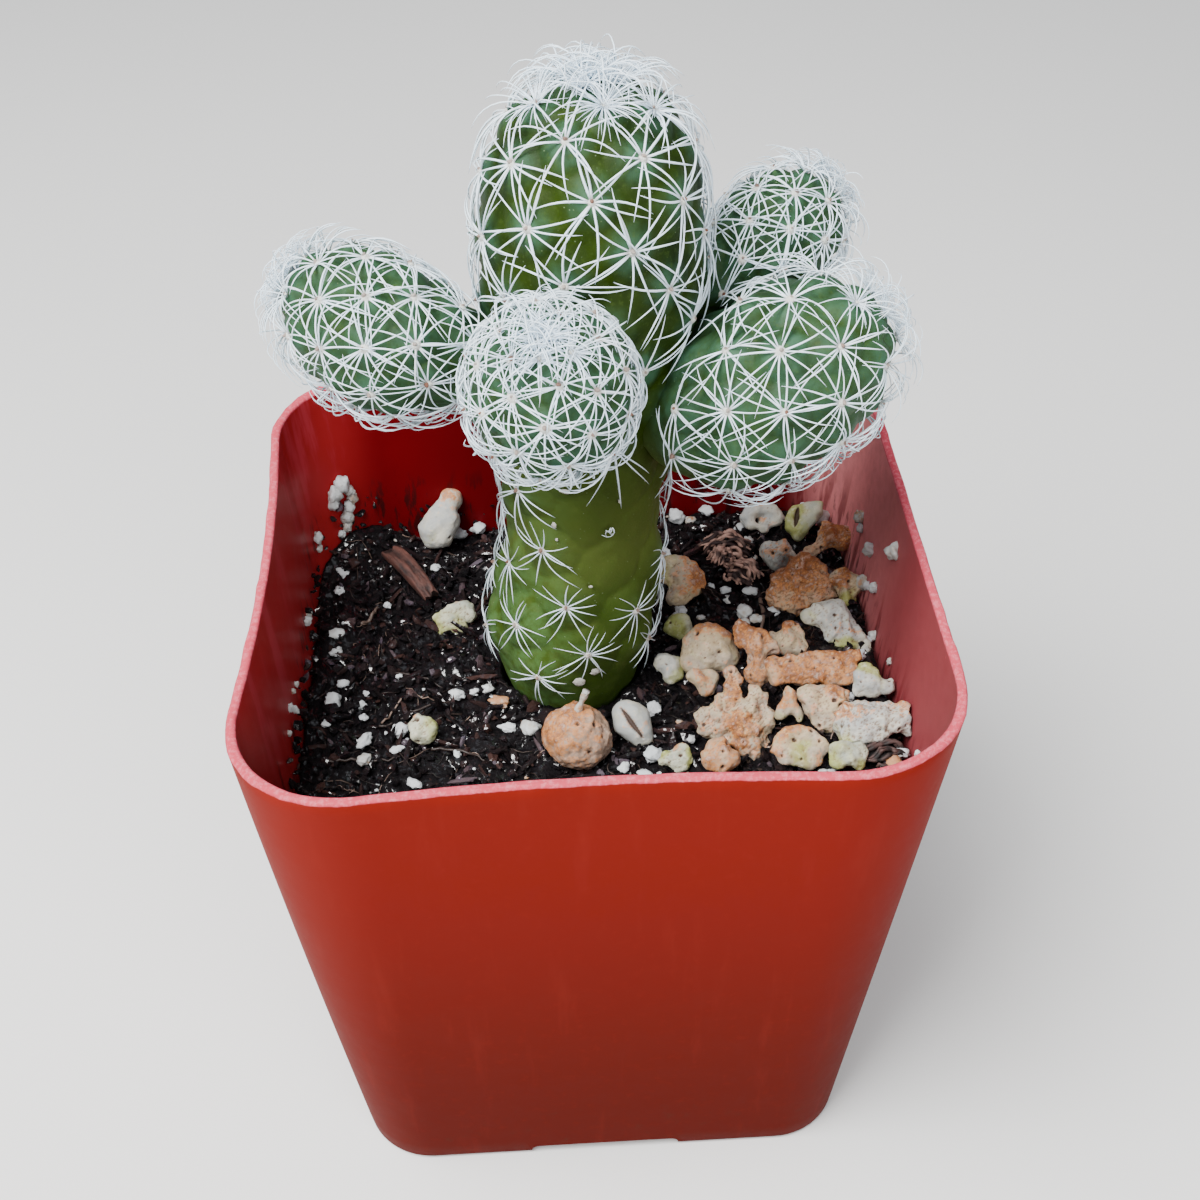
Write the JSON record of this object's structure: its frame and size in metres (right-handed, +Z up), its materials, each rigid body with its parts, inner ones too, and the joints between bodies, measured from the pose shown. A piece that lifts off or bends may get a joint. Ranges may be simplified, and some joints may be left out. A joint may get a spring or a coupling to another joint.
{
  "type": "potted thimble cactus",
  "caption": "Small thimble cactus with a spiny upright stem and round offset heads, in a thin square tapered nursery pot with soil and loose mineral grains.",
  "frame": {"origin": "middle of the pot's base, on the surface that the pot stands on", "axes": "+Z up along the stem, -Y towards the side of the pot that faces the camera, +X to its right"},
  "size_m": [0.0628, 0.0616, 0.1074],
  "materials": {
    "pot_plastic": "thin terracotta-red moulded plastic, satin",
    "soil": "dark peat and bark mix, rough",
    "cactus": "waxy green flesh with white spines",
    "tan_granule": "tan and cream mineral grain, matte",
    "white_granule": "white mineral grain, matte",
    "bark": "red-brown bark, rough"
  },
  "bodies": {
    "root": {"pot": "pot_plastic", "soil": "soil", "main_stem": "cactus", "right_head": "cactus", "front_head": "cactus", "left_head": "cactus", "rear_head": "cactus", "curled_shell": "white_granule", "green_curl": "white_granule", "orange_lump": "tan_granule", "dull_lump": "tan_granule", "boulder": "tan_granule", "boulder_neighbour": "tan_granule", "cream_nugget": "tan_granule", "lobed_white": "white_granule", "broad_disc": "tan_granule", "upright_slab": "tan_granule", "wedge": "tan_granule", "long_bar": "tan_granule", "small_nugget": "tan_granule", "grey_nugget": "white_granule", "lobed_cluster": "tan_granule", "spike": "tan_granule", "right_lump": "tan_granule", "right_white": "white_granule", "right_disc": "white_granule", "front_shell": "tan_granule", "small_ball": "tan_granule", "green_front": "white_granule", "green_right": "white_granule", "pale_grooved": "white_granule", "round_ball": "tan_granule", "green_nugget": "white_granule", "back_lump": "white_granule", "left_flake": "white_granule", "left_crumb": "white_granule", "bark_clump": "bark", "bark_chip": "bark"}
  },
  "joints": []
}
